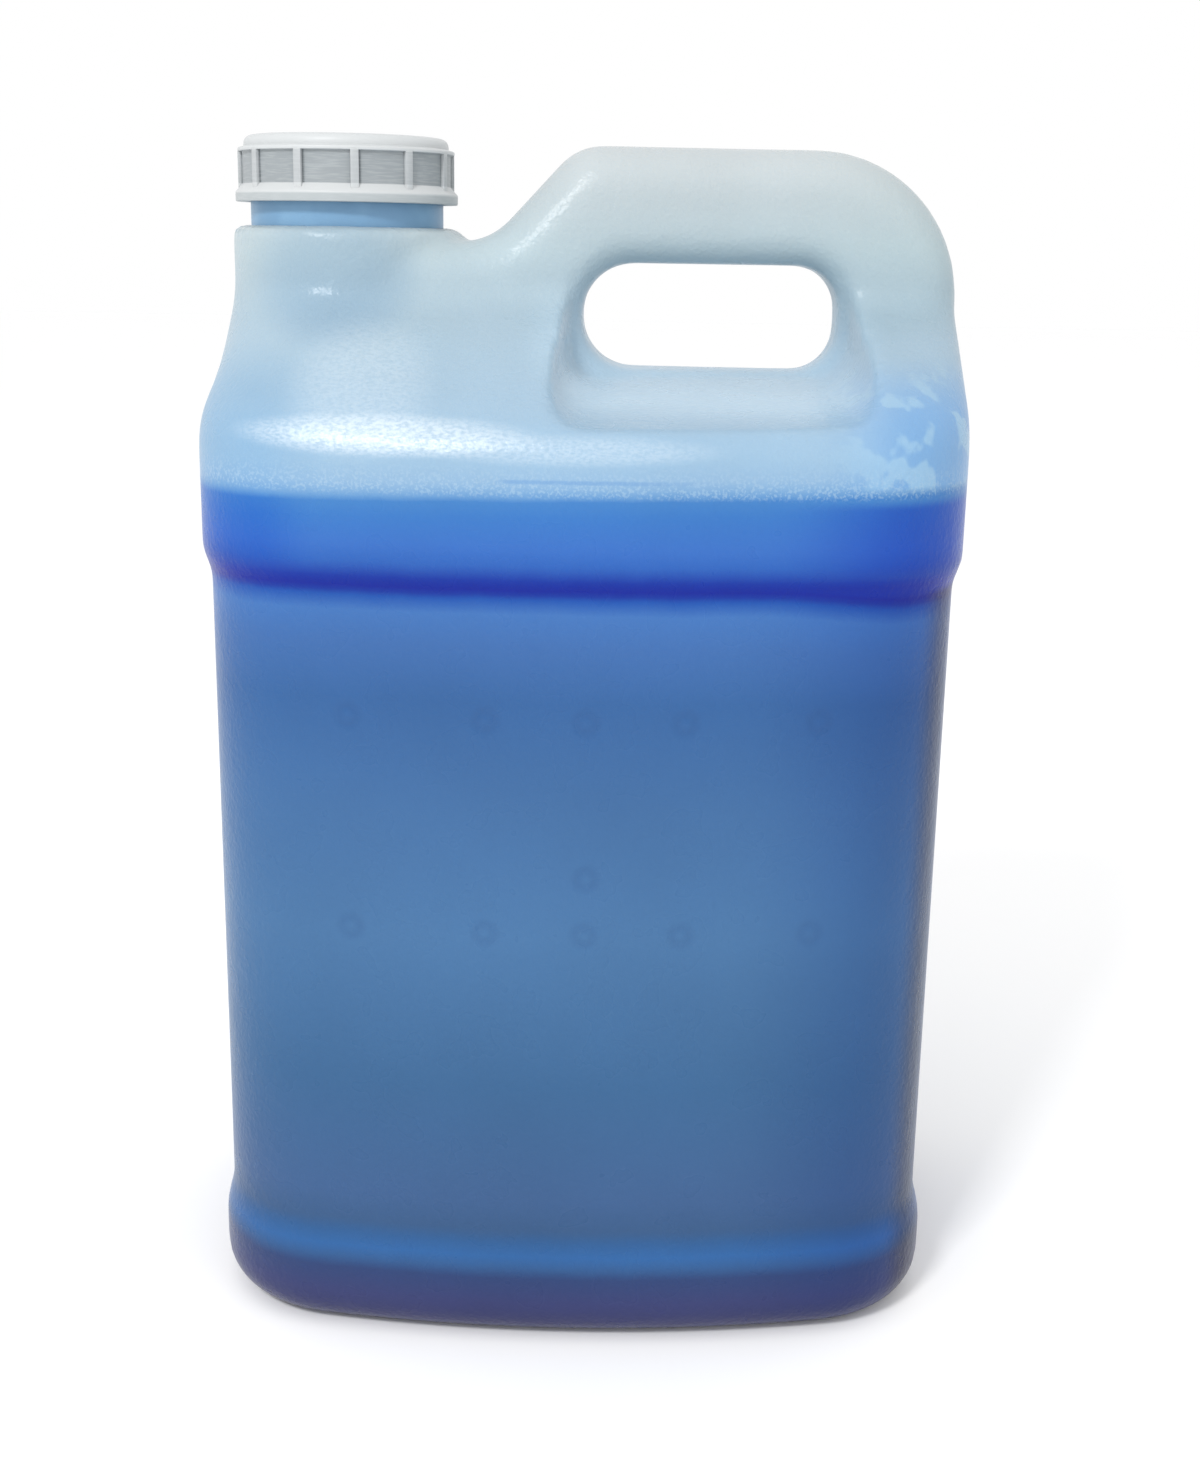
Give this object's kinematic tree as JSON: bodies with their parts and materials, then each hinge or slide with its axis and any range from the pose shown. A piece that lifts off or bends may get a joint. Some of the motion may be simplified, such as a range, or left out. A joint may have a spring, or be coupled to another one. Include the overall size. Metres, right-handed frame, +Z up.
{
  "type": "laundry detergent bottle",
  "caption": "Large translucent blow-moulded jug with a through-handle and ribbed screw cap, partly full of blue laundry detergent.",
  "frame": {"origin": "middle of the box that holds the whole part, on the surface that the base stands on", "axes": "+Z up; the broad front faces -Y; the neck stands at -X and the handle runs towards +X"},
  "size_m": [0.242, 0.1766, 0.3796],
  "materials": {
    "natural_hdpe": "translucent natural HDPE, satin with a fine moulded grain",
    "cap_white": "white moulded polypropylene, satin",
    "liner_foam": "white closed-cell foam",
    "detergent_blue": "clear blue liquid"
  },
  "bodies": {
    "jug": {"bottle": "natural_hdpe", "detergent": "detergent_blue"},
    "wad": {"cap_liner": "liner_foam"},
    "closure": {"cap": "cap_white"}
  },
  "joints": [
    {"name": "cap_rise", "type": "slide", "parent": "jug", "child": "wad", "axis": [0, 0, 1], "range_m": [0, 0.0192]},
    {"name": "cap_turn", "type": "hinge", "parent": "wad", "child": "closure", "pos_m": [-0.078, 0, 0.3695], "axis": [0, 0, 1], "range_deg": [0, 1080]}
  ],
  "couplings": [
    {"joint": "cap_rise", "follows": "cap_turn", "m_per_rad": 0.0010106}
  ]
}
